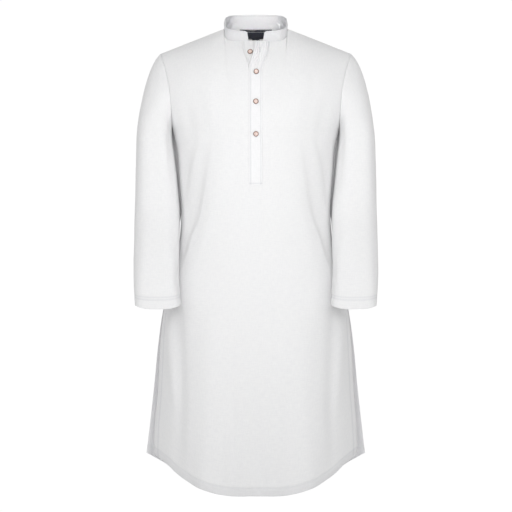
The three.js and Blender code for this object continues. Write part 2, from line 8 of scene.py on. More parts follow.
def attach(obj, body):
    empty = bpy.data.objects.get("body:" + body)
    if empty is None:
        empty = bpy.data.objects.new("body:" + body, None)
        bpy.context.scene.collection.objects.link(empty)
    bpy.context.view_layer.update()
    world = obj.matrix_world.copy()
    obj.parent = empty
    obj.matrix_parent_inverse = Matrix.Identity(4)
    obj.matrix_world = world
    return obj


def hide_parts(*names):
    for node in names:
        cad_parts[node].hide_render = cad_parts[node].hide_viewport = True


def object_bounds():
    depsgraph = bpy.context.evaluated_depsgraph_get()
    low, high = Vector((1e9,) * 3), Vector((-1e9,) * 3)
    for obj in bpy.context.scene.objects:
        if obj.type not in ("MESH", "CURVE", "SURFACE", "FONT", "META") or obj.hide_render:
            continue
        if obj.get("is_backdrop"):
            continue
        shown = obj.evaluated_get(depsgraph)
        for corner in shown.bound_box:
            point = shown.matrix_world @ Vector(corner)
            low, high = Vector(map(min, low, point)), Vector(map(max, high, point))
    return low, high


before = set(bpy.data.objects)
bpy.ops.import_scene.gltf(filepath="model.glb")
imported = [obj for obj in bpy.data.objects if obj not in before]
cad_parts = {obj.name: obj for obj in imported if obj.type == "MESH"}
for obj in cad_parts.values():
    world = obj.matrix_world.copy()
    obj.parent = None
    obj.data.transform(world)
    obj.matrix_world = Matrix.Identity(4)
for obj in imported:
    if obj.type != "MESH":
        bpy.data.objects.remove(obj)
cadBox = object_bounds()
mm = 0.001  # shapes are worked out in millimetres, meshes are in metres


# Small sums that every cloth piece uses

def clamp(value, low=0.0, high=1.0):
    return min(max(value, low), high)


def mix(a, b, share):
    return a + (b - a) * share


def ease(share):
    share = clamp(share)
    return share * share * (3 - 2 * share)


def steps(first, last, count):
    return [mix(first, last, i / count) for i in range(count + 1)]


def hermite(a, b, leave, arrive, t):  # a curve from a to b with the slopes given
    s = 1 - t
    return a * (s * s * (1 + 2 * t)) + b * (t * t * (3 - 2 * t)) + leave * (s * s * t) - arrive * (s * t * t)


def readCurve(keys, values, at):  # a smooth curve through a table
    last = len(keys) - 1
    falling = keys[-1] < keys[0]
    i = 0
    while i < last - 1 and (at < keys[i + 1] if falling else at > keys[i + 1]):
        i += 1

    def slope(k):
        low, high = max(k - 1, 0), min(k + 1, last)
        return (values[high] - values[low]) / (keys[high] - keys[low])

    span = keys[i + 1] - keys[i]
    t = clamp((at - keys[i]) / span)
    return hermite(values[i], values[i + 1], slope(i) * span, slope(i + 1) * span, t)


def ridge(at, centre, width):  # 1 on a line, fading softly to both sides
    return math.exp(-((at - centre) / width) ** 2)


def oval(share, power):  # depth of a superellipse at a share of its half width
    return max(1 - min(abs(share), 1) ** power, 0) ** (1 / power)


def crossing(height):  # the angle where a falling height meets zero
    low, high = 0.0, math.pi / 2
    for _ in range(30):
        middle = (low + high) / 2
        low, high = (middle, high) if height(middle) > 0 else (low, middle)
    return low


# The garment's form in millimetres, the same sections as its solids
bodyForm = {
    "z": [-235, -286, -358, -430, -502, -580, -655, -718, -847, -934, -1017, -1106],
    "half": [200, 189.5, 184, 178.8, 183.2, 197.5, 219, 230, 244, 254, 264, 273],
    "front": [122, 124, 121, 115, 113, 115, 119, 122, 127, 130, 133, 135],
    "back": [112, 108, 102, 98, 102, 112, 122, 127, 132, 135, 138, 140],
    "power": 2.2,
    "chestZ": -235,
    "shoulderZ": -55,
    "shoulderHalf": 228,
    "shoulderFlare": 2.2,
    "neckZ": 4.8,
    "neckHalf": 76.5,
    "neckCrown": 15.2,
    "neckLift": 0.865,
    "climbReach": 105,  # how far out the cloth climbs or drops towards the collar
    "climbLow": 4,
    "climbHigh": 12,
    "armholePinch": 0.15,
    "pinchAngle": math.radians(35),
    "seam": 0.3,
}
hemForm = {
    "z": -1106,
    "startZ": -620,
    "rise": 91,  # from the lowest point up to the corners
    "across": [0, 0.24, 0.39, 0.52, 0.6, 0.7, 0.79, 0.85, 0.93, 1],
    "climb": [0, 0.014, 0.08, 0.186, 0.272, 0.424, 0.578, 0.72, 0.875, 1],
    "slitZ": -680,
    "slitLevels": [-680, -740, -861, -934, -1017, -1106],
    "slitReach": [1, 0.985, 0.957, 0.944, 0.918, 0.893],  # the front is cut narrower than the back
    "slitFlat": 7,  # how evenly the back's slit edge joins its flare
    "edgeTurn": 0.7,  # how nearly the front's slit edge turns back to the side
    "band": 20,  # depth of the turned hem
    "slitBand": 9,
}
placketForm = {
    "half": 15.5,
    "overlapHalf": 16,
    "underlapHalf": 15.1,
    "z": -369,
    "spreadRight": 17,  # the undone neck: how far each edge stands aside
    "spreadMiddle": 17,
    "spreadLeft": 20,
    "closedZ": -112,
    "openZ": -40,
    "freeLift": 8,
    "offset": 1.5,  # how far the overlap stands off the front
}
# Each panel's side, its neckline, and how far its slit edge stands back at the hem
frontForm = {"side": -1, "depth": "front", "neckDepth": 63, "neckPower": 5, "neckRise": -11.5, "flare": 0}
backForm = {"side": 1, "depth": "back", "neckDepth": 55, "neckPower": 2.4, "neckRise": 20, "flare": 46}

# Columns run to 1 on the placket and from there to 2 at the side seam
neckShare, shoulderShare = (bodyForm[key] - placketForm["half"] for key in ("neckHalf", "shoulderHalf"))
neckColumn = 1 + neckShare / shoulderShare
sideWidth = 210  # about how wide the cloth is between columns 1 and 2


def fromSide(column):
    return (2 - abs(column)) * sideWidth


def columnX(column, half):
    beyond = max(abs(column) - 1, 0) * (half - placketForm["half"])
    return clamp(column, -1, 1) * placketForm["half"] + math.copysign(beyond, column)


def spreadX(column, layer, lift):
    if layer == 0:
        return 0.0
    form = placketForm
    z = bodyForm["chestZ"] * (1 - math.sin(lift))
    opened = ease((z - form["closedZ"]) / (form["openZ"] - form["closedZ"]))
    fade = 1 - ease((abs(column) - 1) / (neckColumn - 1))
    if layer < 0:
        return -form["spreadRight"] * opened * fade
    return mix(form["spreadMiddle"], form["spreadLeft"], clamp(column, -1, 1)) * opened * fade


def upperHalf(lift):
    return mix(bodyForm["half"][0], bodyForm["shoulderHalf"], math.sin(lift) ** bodyForm["shoulderFlare"])


def placeX(column, layer, lift):  # a column's place across, above the chest
    return columnX(column, upperHalf(lift)) + spreadX(column, layer, lift)


def upperDepth(panel, x, lift):
    pinch = 1 - bodyForm["armholePinch"] * math.sin(min(lift / bodyForm["pinchAngle"], 1) * math.pi / 2)
    return bodyForm[panel["depth"]][0] * oval(x / upperHalf(lift) * pinch, bodyForm["power"]) * math.cos(lift)


def neckDepth(panel, x):
    return panel["neckDepth"] * oval(x / bodyForm["neckHalf"], panel["neckPower"])


def ridgeZ(x):
    neckZ, neckHalf = bodyForm["neckZ"], bodyForm["neckHalf"]
    if abs(x) < neckHalf:
        return neckZ + bodyForm["neckCrown"] * (1 - (x / neckHalf) ** 2)
    return mix(neckZ, bodyForm["shoulderZ"], (abs(x) - neckHalf) / (bodyForm["shoulderHalf"] - neckHalf))


def climbShare(height):
    return height ** bodyForm["climbLow"] * (1 - height ** bodyForm["climbHigh"])


def upperPoint(panel, x, lift):  # from the chest up to the shoulder seam
    chestZ = bodyForm["chestZ"]
    climb = panel["neckRise"] * max(1 - abs(x / bodyForm["climbReach"]) ** 3, 0) ** 2
    z = chestZ + (ridgeZ(x) - chestZ) * math.sin(lift)
    z += climb * climbShare(math.sin(lift)) / climbShare(bodyForm["neckLift"])
    return Vector((x, panel["side"] * (upperDepth(panel, x, lift) + bodyForm["seam"] / 2), z))


def neckPoint(panel, x):  # on the neckline
    lift = crossing(lambda lift: upperDepth(panel, x, lift) - neckDepth(panel, x))
    return upperPoint(panel, x, lift)


def topLift(panel, column, layer):
    if abs(column) >= neckColumn - 1e-6:
        return math.pi / 2

    def clear(lift):
        x = placeX(column, layer, lift)
        return upperDepth(panel, x, lift) - neckDepth(panel, x)

    return crossing(clear)


def lowerPoint(panel, column, z):  # from the hem up to the chest
    half = readCurve(bodyForm["z"], bodyForm["half"], z)
    depth = readCurve(bodyForm["z"], bodyForm[panel["depth"]], z)
    reach = 1
    if panel is frontForm and z < hemForm["slitZ"]:
        reach = readCurve(hemForm["slitLevels"], hemForm["slitReach"], z)
    x = columnX(column, half * reach)
    closed = mix(1, reach, hemForm["edgeTurn"])
    flare = panel["flare"] * ease((hemForm["slitZ"] - z) / (hemForm["slitZ"] - hemForm["z"])) ** 0.6
    flat = hemForm["slitFlat"]
    y = ((depth * oval(x / (half * closed), bodyForm["power"])) ** flat + flare ** flat) ** (1 / flat)
    return Vector((x, panel["side"] * (y + bodyForm["seam"] / 2), z))


def hemZ(z, column):  # rows bend up to the hem's corners
    chestHalf = bodyForm["half"][0]
    climb = readCurve(hemForm["across"], hemForm["climb"], abs(columnX(column, chestHalf)) / chestHalf)
    start = hemForm["startZ"]
    return z + hemForm["rise"] * climb * ease((start - z) / (start - hemForm["z"]))


# Folds are soft lines laid on the cloth. A fold is a list of points down its length:
# place across, height on the garment, half width, and how high it stands (or sinks, below zero).

def foldHeight(folds, across, z):
    height = 0.0
    for crease in folds:
        levels = crease["levels"]
        if z > levels[0] or z < levels[-1]:
            continue
        place, wide, high = (readCurve(levels, crease[key], z) for key in ("places", "widths", "heights"))
        for side in crease["sides"]:
            centre = side * place + crease["shift"] * (side > 0)
            out = (across - centre) * side / wide
            share = crease["uneven"] if side > 0 else 1
            if crease["drag"]:  # a taut edge: level on its inner side, falling away outwards
                run = math.log(1 + math.exp(min(out, 9) * 9)) / 9
                height += high * share * run * math.exp(1 - run)
            elif abs(out) < 3:
                height += high * share * math.exp(-out * out)
    return height


def fold(*line, sides=(-1, 1), drag=False, uneven=1.0, shift=0.0):
    table = dict(zip(("places", "levels", "widths", "heights"), zip(*line)))
    return {**table, "sides": sides, "drag": drag, "uneven": uneven, "shift": shift}


def crumple(point, *layers):  # soft unevenness, the same each time: how high, its size, how tall
    return sum(
        high * noise.noise(Vector((point.x / size, point.y / size, point.z / tall)))
        for high, size, tall in layers
    )


def gridNormals(points, ring=False):
    last, wide = len(points) - 1, len(points[0])
    normals = []
    for i in range(last + 1):
        row = []
        for j in range(wide):
            before, after = max(j - 1, 0), min(j + 1, wide - 1)
            if ring and j in (0, wide - 1):
                before, after = wide - 2, 1
            across = points[i][after] - points[i][before]
            up = points[min(i + 1, last)][j] - points[max(i - 1, 0)][j]
            row.append(across.cross(up).normalized())
        normals.append(row)
    return normals


def raised(points, relief, ring=False):  # lifts each point along its normal
    normals = gridNormals(points, ring)
    return [
        [point + normals[i][j] * relief(i, j, point) for j, point in enumerate(row)]
        for i, row in enumerate(points)
    ]


def running(points):  # distance along a row of points
    run = [0.0]
    for a, b in zip(points, points[1:]):
        run.append(run[-1] + (b - a).length)
    return run


def addObject(name, data):
    thing = bpy.data.objects.new(name, data)
    bpy.context.scene.collection.objects.link(thing)
    return thing


def meshPiece(name, bm, material):
    mesh = bpy.data.meshes.new(name)
    bm.to_mesh(mesh)
    bm.free()
    mesh.shade_smooth()
    mesh.materials.append(material)
    return addObject(name, mesh)


# Everything rides on the one body, and some pieces take the place of a plain solid
def belongs(piece, node=None, slot=None):
    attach(piece, "root")
    if node:
        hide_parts(node)
    return piece


# A grid of cloth, with its thread directions as UVs in metres. Functions of row and column say where
# faces are left out, how thick it is, where shade is painted along its seams, hems and creases, and where
# light shows through.
def clothPiece(name, node, slot, points, material, thick, ring=False,
               skip=None, layers=None, paintedShade=None, thin=None):
    tall, wide = len(points) - 1, len(points[0]) - 1
    bm = bmesh.new()
    bmesh.ops.create_grid(bm, x_segments=wide, y_segments=tall, size=0.5)
    uv = bm.loops.layers.uv.new("cloth")
    deform = bm.verts.layers.deform.verify()
    # the seam attribute is painted shade: how much darker each point is drawn along seams, hems, stitching
    # and creases
    seam = bm.verts.layers.float.new("seam")
    sheer = bm.verts.layers.float.new("thin")
    across = running(points[tall // 2])
    along = running([row[wide // 4] for row in points])
    cells = {v: (round((v.co.y + 0.5) * tall), round((v.co.x + 0.5) * wide)) for v in bm.verts}
    for v, (i, j) in cells.items():
        v.co = points[i][j] * mm
        v[deform][0] = layers(i, j) if layers else 1.0
        v[seam] = clamp(paintedShade(i, j)) if paintedShade else 0.0
        v[sheer] = thin(i, j) if thin else 1.0
    for face in bm.faces:
        for loop in face.loops:
            i, j = cells[loop.vert]
            loop[uv].uv = (across[j] * mm, along[i] * mm)
    if skip:
        gone = [f for f in bm.faces if skip(*(min(cells[v][k] for v in f.verts) for k in (0, 1)))]
        bmesh.ops.delete(bm, geom=gone, context="FACES")
    if ring:
        bmesh.ops.remove_doubles(bm, verts=bm.verts[:], dist=0.00001)
    piece = belongs(meshPiece(name, bm, material), node, slot)
    piece.vertex_groups.new(name="layers")
    wall = piece.modifiers.new("clothThickness", "SOLIDIFY")
    wall.thickness = thick * mm
    wall.offset = -1
    wall.vertex_group = "layers"
    return piece


def seat(point, normal, along):  # a frame on the cloth: along the line, across it, and outwards
    x = along.normalized()
    z = (normal - x * normal.dot(x)).normalized()
    y = z.cross(x)
    return Matrix.Translation(point * mm) @ Matrix((x, y, z)).transposed().to_4x4()


# Real stitches are about 2.2 mm long and 0.3 mm thick. These are a little thicker, so that a line shows.
stitchForm = {"length": 2.3, "gap": 0.9, "width": 0.6, "height": 0.42, "sunk": 0.02}


def sewLine(bm, line):  # a row of stitches along points with their normals
    form = stitchForm
    run = running([point for point, _ in line])
    pitch = form["length"] + form["gap"]
    size = Matrix.Diagonal((form["length"] / 2 * mm, form["width"] / 2 * mm, form["height"] / 2 * mm, 1))
    at, k = pitch / 2, 0
    while at < run[-1] - pitch / 2:
        while run[k + 1] < at:
            k += 1
        share = (at - run[k]) / max(run[k + 1] - run[k], 1e-6)
        point = line[k][0].lerp(line[k + 1][0], share)
        normal = line[k][1].lerp(line[k + 1][1], share)
        frameHere = seat(point - normal * form["sunk"], normal, line[k + 1][0] - line[k][0])
        bmesh.ops.create_icosphere(bm, subdivisions=1, radius=1, matrix=frameHere @ size)
        at += pitch


def sewn(name, points, lines, ring=False):  # stitches along parts of a grid's rows and columns
    cloth = [list(zip(*rows)) for rows in zip(points, gridNormals(points, ring))]
    bm = bmesh.new()
    for way, k, first, last in lines:
        sewLine(bm, (cloth[k] if way == "row" else [row[k] for row in cloth])[first:last])
    return belongs(meshPiece(name, bm, whiteThread))


# Materials

def linearColour(code):  # an sRGB hex colour to linear
    parts = [int(code[i:i + 2], 16) / 255 for i in (1, 3, 5)]
    return tuple([p / 12.92 if p <= 0.04045 else ((p + 0.055) / 1.055) ** 2.4 for p in parts] + [1.0])


def setInputs(node, inputs):  # links a socket, and sets a colour or a number
    for key, value in inputs.items():
        if isinstance(value, bpy.types.NodeSocket):
            node.id_data.links.new(value, node.inputs[key])
        else:
            node.inputs[key].default_value = linearColour(value) if isinstance(value, str) else value


# The output that is read where it isn't a node's first
readOutputs = {"TexCoord": "Object", "Attribute": "Fac", "TexWave": "Fac", "Mix": 2}


def addNode(tree, kind, inputs=None, **settings):
    node = tree.nodes.new("ShaderNode" + kind)
    for key, value in settings.items():
        setattr(node, key, value)
    setInputs(node, inputs or {})
    return node.outputs[readOutputs.get(kind, 0)]


def mixed(tree, share, low, high):
    return addNode(tree, "Mix", {0: share, 6: low, 7: high}, data_type="RGBA")


def bands(tree, spacing, way, inputs):  # threads or ribs that far apart in millimetres
    cloth = {"Vector": addNode(tree, "UVMap", uv_map="cloth"), "Scale": 2 * math.pi / (20 * spacing * mm)}
    return addNode(tree, "TexWave", {**cloth, **inputs}, bands_direction=way)


def cloudy(tree, size, **inputs):  # patches of about that size in millimetres
    place = {"Vector": addNode(tree, "TexCoord"), "Scale": 1 / (size * mm)}
    return addNode(tree, "TexNoise", {**place, **inputs})


def bump(tree, height, strength, distance, under=None):  # the distance is in millimetres
    inputs = {"Height": height, "Strength": strength, "Distance": distance * mm}
    return addNode(tree, "Bump", {**inputs, "Normal": under} if under else inputs)


def newMaterial(name):
    material = bpy.data.materials.new(name)
    material.use_nodes = True
    tree = material.node_tree
    return material, tree, tree.nodes["Principled BSDF"]


# Plain-woven cotton, bleached white, washed and lightly pressed: matt, a little slubby, with a soft nap.
# The threads are 0.25 mm apart on the real cloth, drawn at 1.1 mm so that the weave shows up close.
cottonForm = {
    "thread": 1.1,
    "slub": 14,
    "crumple": 30,
    "weaveDepth": 0.07,
    "crumpleDepth": 0.5,
    # the grey of the painted shade along seams, hems, stitching and creases
    "paintedShadeColour": "#B9BABF",
    "throughColour": "#F8F8F9",
}


def wovenCotton(name, colour, deepColour, through=0.0):
    form = cottonForm
    material, tree, skin = newMaterial(name)
    cloth = addNode(tree, "UVMap", uv_map="cloth")
    uneven = {"Distortion": 0.6, "Detail": 0.0, "Detail Scale": 0.2}
    warp, weft = (bands(tree, form["thread"], way, uneven) for way in "XY")
    weave = addNode(tree, "Math", {0: warp, 1: weft}, operation="MAXIMUM")
    # slubs: thicker stretches of thread, long one way and thin the other
    fine = 1 / (form["thread"] * mm * 2.2)
    coarse = 1 / (form["slub"] * mm)
    slubs = []
    for scale in ((coarse, fine, 1), (fine, coarse, 1)):
        stretched = addNode(tree, "Mapping", {"Vector": cloth, "Scale": scale})
        slubs.append(addNode(tree, "TexNoise", {"Vector": stretched, "Scale": 1.0, "Detail": 1.0}))
    slub = addNode(tree, "Math", {0: slubs[0], 1: slubs[1]}, operation="ADD")
    shade = addNode(tree, "MapRange", {"Value": slub, "From Min": 0.6, "From Max": 1.4})
    threads = mixed(tree, shade, deepColour, colour)
    # painted shade: hem bands, seams, stitch lines, creases and pleat troughs are drawn darker by the seam
    # attribute
    seam = addNode(tree, "Attribute", attribute_name="seam")
    soft = cloudy(tree, form["crumple"], Detail=3.0, Roughness=0.45)
    crumpled = bump(tree, soft, 0.35, form["crumpleDepth"])
    slubbed = bump(tree, slub, 0.5, form["weaveDepth"] * 2, crumpled)
    setInputs(skin, {
        "Base Color": mixed(tree, seam, threads, form["paintedShadeColour"]),
        "Normal": bump(tree, weave, 0.5, form["weaveDepth"], slubbed),
        "Roughness": 0.88,
        "Specular IOR Level": 0.25,
        "Sheen Weight": 0.12,
        "Sheen Roughness": 0.5,
    })
    if through:  # thin enough for light to show through from behind
        glow = addNode(tree, "BsdfTranslucent", {"Color": form["throughColour"]})
        sheer = addNode(tree, "Attribute", attribute_name="thin")
        share = addNode(tree, "Math", {0: sheer, 1: through}, operation="MULTIPLY")
        both = addNode(tree, "MixShader", {0: share, 1: skin.outputs["BSDF"], 2: glow})
        setInputs(tree.nodes["Material Output"], {"Surface": both})
    return material


whiteCotton = wovenCotton("wovenWhiteCotton", "#EFEFEF", "#E9E9EA")  # single cloth
edgeCotton = wovenCotton("wovenWhiteCottonThinEdge", "#EFEFEF", "#E9E9EA", through=0.8)
# two layers fused to an interlining and pressed, a little whiter
doubleCotton = wovenCotton("fusedWhiteCotton", "#F2F2F3", "#EDEDEE")
collarCotton = wovenCotton("fusedCollarCotton", "#F3F3F4", "#EDEDEF", through=0.25)


# Spun cotton, twisted: sewing thread, a shade cooler than the cloth it lies on, and the grey of the painted
# shadow in the buttonholes' slits
def spunThread(name, colour):
    material, tree, skin = newMaterial(name)
    twist = bump(tree, cloudy(tree, 0.5, Detail=1.0), 0.4, 0.1)
    setInputs(skin, {"Base Color": colour, "Normal": twist, "Roughness": 0.7})
    return material


whiteThread = spunThread("spunCottonThread", "#E6E8EC")
buttonThread = spunThread("buttonSewingThread", "#F2E8E2")
slitShade = spunThread("paintedSlitShadow", "#B4B5B9")


# Woven damask tape: dark, close ribs across it, a faint silky gleam
def wovenTape(name, colour, ribColour):
    material, tree, skin = newMaterial(name)
    ribs = bands(tree, 0.9, "Y", {"Distortion": 0.8, "Detail": 1.0})
    setInputs(skin, {
        "Base Color": mixed(tree, ribs, colour, ribColour),
        "Normal": bump(tree, ribs, 0.6, 0.12),
        "Roughness": 0.6,
        "Sheen Weight": 0.2,
    })
    return material


darkTape = wovenTape("damaskTapeDark", "#23252E", "#343744")


# Button turned from river shell: a clouded pale pink face, the shell's brown outer skin left on the rim
def turnedShell(name, faceColour, cloudColour, rimColour):
    material, tree, skin = newMaterial(name)
    rim = addNode(tree, "Attribute", attribute_name="rim")
    face = mixed(tree, cloudy(tree, 3, Detail=2.0), faceColour, cloudColour)
    setInputs(skin, {
        "Base Color": mixed(tree, rim, face, rimColour),
        "Roughness": 0.28,
        "IOR": 1.56,
        "Coat Weight": 0.3,
        "Coat Roughness": 0.15,
    })
    return material


buttonShell = turnedShell("turnedRiverShell", "#EED3C8", "#DDBDB1", "#75594F")

print("materials made")

# Panels: front and back
frontFolds = [
    # chest drags, taut towards the middle
    fold((135, -256, 12, 0), (141.5, -286, 13, -2.2), (152, -322, 14, -4), (159, -358, 14, -5),
         (163, -382, 14, -5), (168, -418, 13, -4.5), (174, -446, 12, -3), (181, -480, 10, 0), drag=True,
         uneven=0.92, shift=1.5),
    fold((104, -268, 14, 0), (109, -297, 15, -2), (119, -361, 16, -4), (129, -418, 16, -6),
         (137.5, -454, 15, -6.5), (152.8, -490, 14, -6.5), (163.4, -526, 13, -5.5), (173, -554, 12, -3.5),
         (184, -596, 10, 0), drag=True, uneven=0.94, shift=-1.5),
    # soft rolls between and inside them
    fold((78, -290, 22, 0), (92, -361, 24, 1.6), (106, -434, 22, 2.6), (122, -490, 18, 2.6),
         (140, -546, 15, 1.4), (154, -590, 12, 0), uneven=0.9),
    fold((168, -150, 13, 0), (163, -185, 14, -2.6), (156, -226, 14, -3.2), (150, -262, 12, -1.5),
         (147, -284, 11, 0), uneven=0.8),
    # skirt: a slanting ridge down each side, a broad flute inside it
    fold((211, -640, 9, 0), (207, -690, 10, 3), (201, -770, 11, 4.5), (195, -850, 10, 4), (190, -920, 9, 0),
         uneven=0.8),
    fold((186, -600, 12, 0), (184, -694, 13, -4), (180, -780, 14, -5), (178, -880, 14, -5),
         (180, -980, 14, -4), (184, -1060, 14, 0), uneven=0.85),
    fold((94, -600, 34, 0), (101, -740, 38, 6), (106, -900, 42, 9), (114, -1110, 48, 11), uneven=0.92,
         shift=4),
    fold((232, -880, 9, 0), (236, -960, 9, 3.5), (240, -1110, 10, 4), uneven=0.7),
    # the middle and the small ones beside it
    fold((4, -740, 24, 0), (0, -860, 32, -5), (0, -960, 40, -13), (2, -1110, 52, -26), sides=(1,)),
    fold((52, -840, 11, 0), (56, -950, 13, -2.6), (62, -1110, 16, -4), uneven=0.5, shift=-9),
    fold((143, -1000, 12, 0), (146, -1050, 13, -2), (150, -1110, 14, -3), uneven=0.7, shift=5),
    # below the placket's end
    fold((13, -366, 6, 0), (18, -392, 7, -1.6), (27, -440, 9, -1.2), (34, -480, 10, 0), uneven=0.6),
    fold((0, -372, 8, 0), (0, -400, 9, -1), (2, -450, 11, 0), sides=(1,)),
    # from the armhole and under the collar
    fold((150, -120, 16, 0), (140, -160, 18, -1.6), (126, -214, 20, -1.6), (114, -270, 18, 0), uneven=0.7,
         shift=-5),
    fold((52, -44, 7, 0), (56, -74, 9, -1.3), (64, -126, 12, -1.1), (72, -180, 14, 0), uneven=0.6, shift=-6),
    fold((118, -50, 16, 0), (112, -110, 20, 1.6), (104, -190, 24, 1.6), (98, -260, 24, 0)),
]
backFolds = [
    fold((112, -236, 15, 0), (124, -320, 17, -4), (140, -420, 16, -7), (156, -500, 14, -6),
         (172, -580, 12, 0), drag=True, uneven=0.85, shift=4),
    fold((150, -250, 12, 0), (160, -320, 13, -4), (168, -400, 12, -3.5), (178, -470, 10, 0), drag=True,
         uneven=0.9),
    fold((96, -270, 22, 0), (110, -380, 24, 3), (128, -480, 20, 3.5), (146, -560, 16, 0), uneven=0.9),
    fold((36, -370, 30, 0), (44, -450, 34, -5), (54, -560, 32, -5.5), (64, -650, 30, 0), uneven=0.8, shift=6),
    fold((150, -590, 20, 0), (158, -700, 24, -9), (168, -860, 27, -13), (176, -1000, 30, -12),
         (184, -1110, 32, -9), uneven=0.9),
    fold((94, -620, 34, 0), (98, -760, 40, 5), (104, -920, 44, 8), (112, -1110, 52, 9), uneven=0.85,
         shift=-5),
    fold((218, -700, 14, 0), (222, -820, 16, 5), (234, -960, 18, 6), (248, -1110, 20, 6), uneven=0.8),
    fold((18, -680, 22, 0), (14, -800, 28, -4), (20, -960, 34, -7), (26, -1110, 42, -9), sides=(1,)),
    fold((30, -860, 14, 0), (34, -980, 17, 3), (40, -1110, 20, 4), sides=(-1,)),
    fold((140, -90, 16, 0), (130, -160, 20, -3), (118, -240, 20, -3), (110, -310, 18, 0), uneven=0.7,
         shift=-6),
    fold((70, -30, 18, 0), (76, -110, 24, 2.2), (84, -200, 26, 2), (90, -280, 24, 0)),
]
# The skirt's sides turn back from a line down each thigh: height, the line's place, and how steeply
skirtTurn = {
    "z": [-580, -650, -760, -880, -980, -1040, -1110],
    "place": [170, 168, 165, 161, 154, 144, 134],
    "slope": [0, 0.3, 0.34, 0.34, 0.32, 0.26, 0.2],
    "soft": 9,
}
panelForm = {
    "thick": 1.4,  # where hems are turned; single cloth is half of it
    "crumple": ((0.9, 52, 90), (0.22, 17, 26)),
    "curl": 3.0,  # how far the hem's edge rolls in
    "groove": 0.7,  # depth and half width of the line that a row of stitches draws in
    "grooveWide": 1.6,
    "slitGrooveWide": 1.5,
    "sideHold": 14,  # folds die away this near the side seam
    "freeRun": 120,  # and come back this far down the slit
    "freeShare": 0.75,
    "topHold": 12,  # how late they die away towards the neck and shoulder
    "placketHold": 0.35,  # what is left of them below the placket's end
}


def panelColumns(count):  # closer at the placket, the neck's corner and the edges
    edge = [2 - d / sideWidth for d in (1, 2.5, 5, 7.5, hemForm["slitBand"], 10.5, 12.5)]
    corner = [neckColumn - d for d in (0.02, 0.008, 0)]
    inner = [c for c in steps(1.006, edge[-1] - 0.012, count) if min(abs(c - k) for k in corner) > 0.005]
    side = [1.0] + sorted(inner + corner) + edge[::-1] + [2.0]
    return [-c for c in reversed(side)] + [-0.66, -0.33, 0, 0.33, 0.66] + side


def hemLevels(count):  # heights of the rows from the hem to the chest
    band = [0, 0.9, 2.4, 5, 8.5, 12, 15.5, 18.4, hemForm["band"], 21.6, 24, 28]
    return [hemForm["z"] + d for d in band] + steps(hemForm["z"] + 32, bodyForm["chestZ"], count)


def turnedBack(point):
    form = skirtTurn
    if point.z > form["z"][0]:
        return 0
    place, slope = (readCurve(form["z"], form[key], point.z) for key in ("place", "slope"))
    return slope * form["soft"] * math.log(1 + math.exp((abs(point.x) - place) / form["soft"]))


def panelGrid(panel, folds, columns, heights, shares):
    lower = [[lowerPoint(panel, c, hemZ(z, c)) for c in columns] for z in heights]
    if panel is frontForm:
        for row in lower:
            for point in row:
                point.y += turnedBack(point)
    layers = [0 if panel is backForm else (c > 0) - (c < 0) for c in columns]
    tops = [topLift(panel, c, layer) for c, layer in zip(columns, layers)]
    upper = []
    for share in shares:
        row = []
        for c, layer, top in zip(columns, layers, tops):
            row.append(upperPoint(panel, placeX(c, layer, top * share), top * share))
        upper.append(row)
    form = panelForm
    hemLength = len(heights)

    def relief(i, j, point):
        height = foldHeight(folds, point.x, point.z) + crumple(point, *form["crumple"])
        side = fromSide(columns[j])
        held = 1 - ridge(side, 0, form["sideHold"])
        if i < hemLength:
            free = ease((hemForm["slitZ"] - heights[i]) / form["freeRun"])
            height *= mix(held, 1, free * form["freeShare"])
            fromHem = heights[i] - hemForm["z"]
            height -= form["curl"] * max(1 - fromHem / hemForm["band"], 0) ** 2
            height -= form["groove"] * ridge(fromHem, hemForm["band"], form["grooveWide"])
            if heights[i] < hemForm["slitZ"]:
                height -= form["groove"] * ridge(side, hemForm["slitBand"], form["slitGrooveWide"])
        else:
            height *= held * (1 - shares[i - hemLength] ** form["topHold"])
        if panel is frontForm and abs(columns[j]) < 1.1:
            height *= mix(1, form["placketHold"], ease((point.z - placketForm["z"] + 30) / 40))
        return height

    return raised(lower + upper, relief)


def panelLayers(columns, heights):
    def layers(i, j):
        if i >= len(heights):
            return 0.5
        turned = heights[i] - hemForm["z"] <= hemForm["band"] + 1
        if heights[i] < hemForm["slitZ"]:
            turned = turned or fromSide(columns[j]) <= hemForm["slitBand"] + 1
        return 1.0 if turned else 0.5
    return layers


# painted shade: a darker hem band, and darker lines at the hem's stitching, the slit hems and the side seams
def panelPaintedShade(columns, heights):
    def paintedShade(i, j):
        side = fromSide(columns[j])
        if i >= len(heights):
            return 0.12 * ridge(side, 0, 2.5)
        fromHem = heights[i] - hemForm["z"]
        shade = 0.14 if fromHem < hemForm["band"] else 0.0
        shade += 0.22 * ridge(fromHem, hemForm["band"], 1.5)
        if heights[i] < hemForm["slitZ"]:
            return shade + 0.25 * ridge(side, hemForm["slitBand"], 1.2)
        return shade + 0.4 * ridge(side, 0, 2)
    return paintedShade


frontColumns = panelColumns(56)
frontHeights = [z for z in hemLevels(180) if abs(z - placketForm["z"]) > 2]
placketRow = sum(z < placketForm["z"] for z in frontHeights)
frontHeights.insert(placketRow, placketForm["z"])
upperShares = [(k / 52) ** 1.15 for k in range(1, 50)] + [0.972, 0.988, 0.996, 1.0]
frontPoints = panelGrid(frontForm, frontFolds, frontColumns, frontHeights, upperShares)
openColumns = [j for j, c in enumerate(frontColumns) if abs(c) < 1]
front = clothPiece(
    "frontPanel", "front", "white_cotton", frontPoints, whiteCotton, panelForm["thick"],
    skip=lambda i, j: i >= placketRow and openColumns[0] - 1 <= j <= openColumns[-1],
    layers=panelLayers(frontColumns, frontHeights),
    paintedShade=panelPaintedShade(frontColumns, frontHeights),
)
print("front panel laid")


